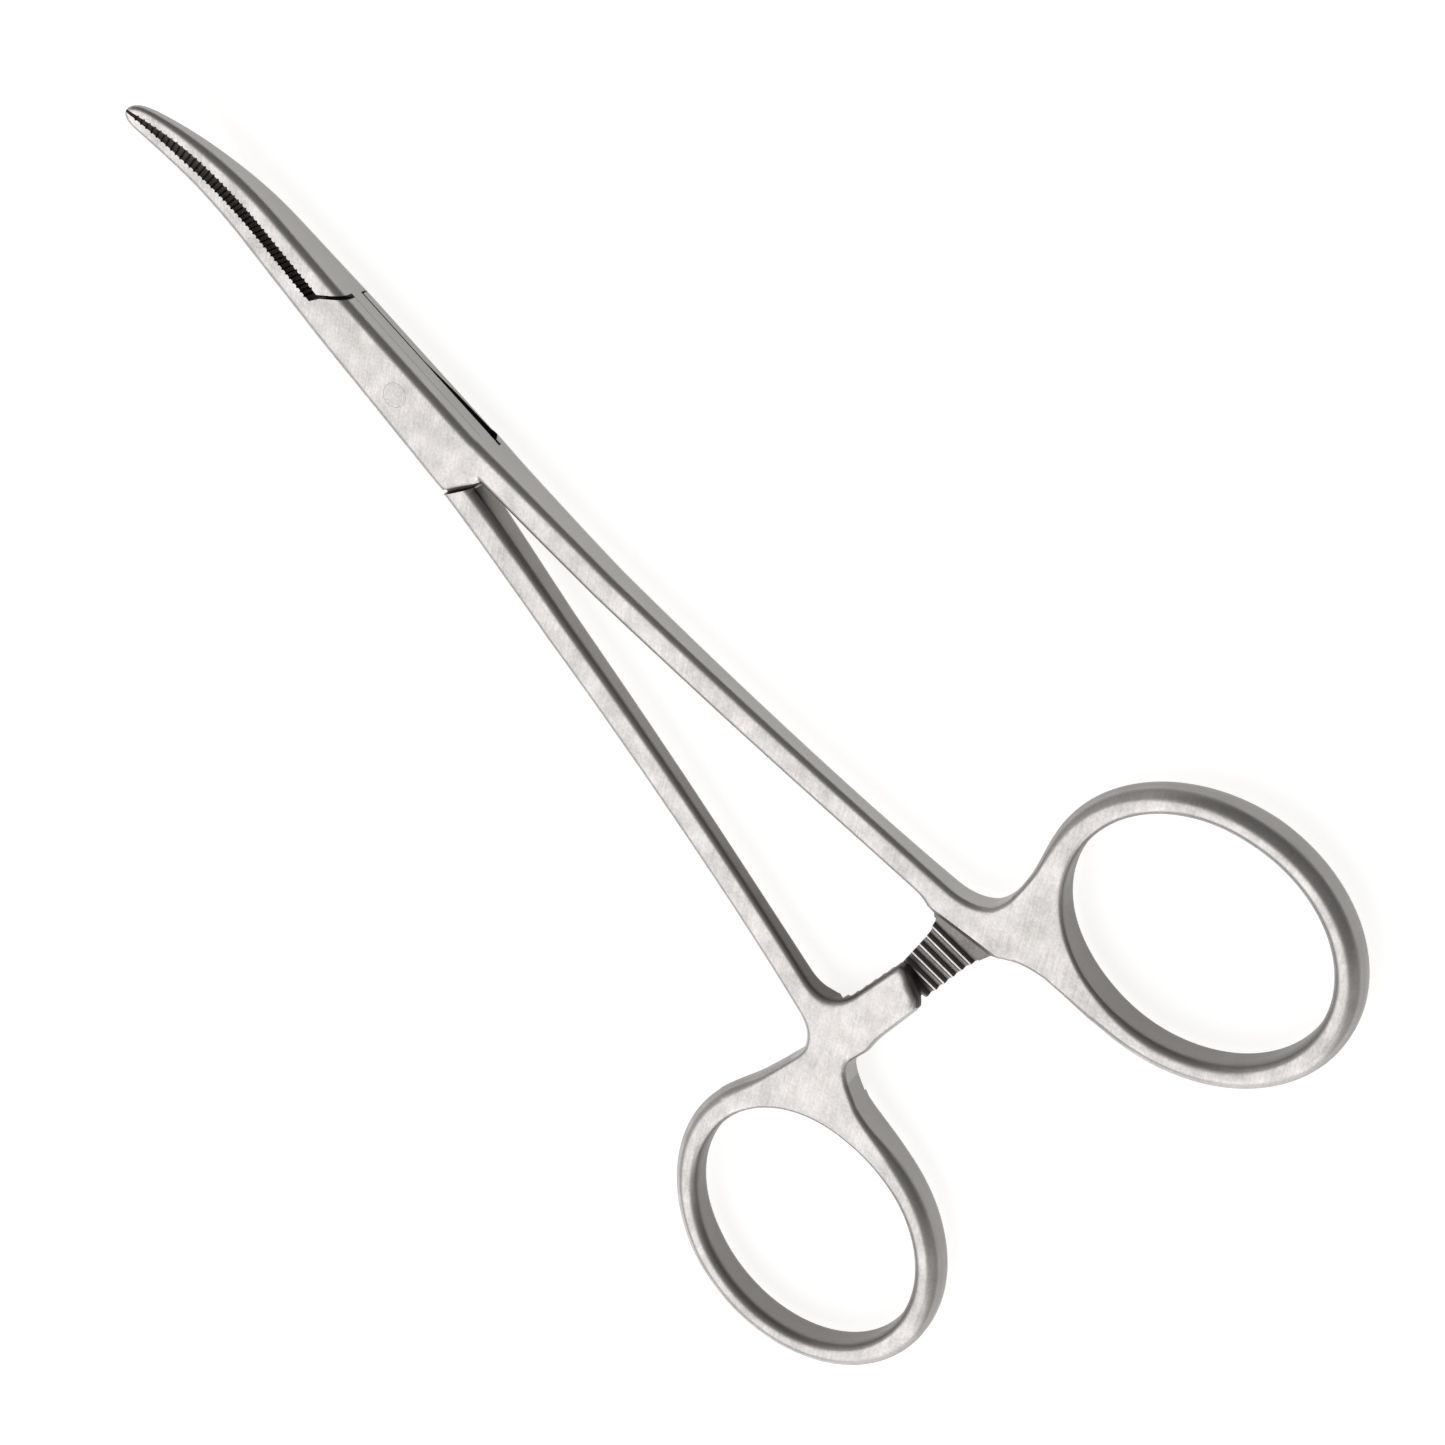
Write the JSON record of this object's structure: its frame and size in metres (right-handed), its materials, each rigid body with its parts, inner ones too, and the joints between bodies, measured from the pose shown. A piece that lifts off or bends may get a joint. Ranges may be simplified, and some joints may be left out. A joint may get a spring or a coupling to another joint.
{
  "type": "artery forceps",
  "caption": "Slim curved artery forceps with a box lock, serrated jaws, finger rings and an overlapping ratchet that holds the jaws shut.",
  "frame": {"origin": "where the pivot axis meets the flat underside of the box lock", "axes": "+X from the pivot to the finger rings, +Y to the ring of the box half, +Z along the pivot axis towards the side that the tips curve to"},
  "size_m": [0.1249, 0.0752, 0.0069],
  "materials": {
    "satin_steel": "satin brushed stainless steel",
    "pin_steel": "satin, ground flush"
  },
  "bodies": {
    "box_body": {"box_half": "satin_steel", "pivot_pin": "pin_steel"},
    "tenon_body": {"tenon_half": "satin_steel"}
  },
  "joints": [
    {"name": "box_lock", "type": "hinge", "parent": "box_body", "child": "tenon_body", "pos_m": [0, 0, 0.002], "axis": [0, 0, -1], "range_deg": [0, 40]}
  ]
}
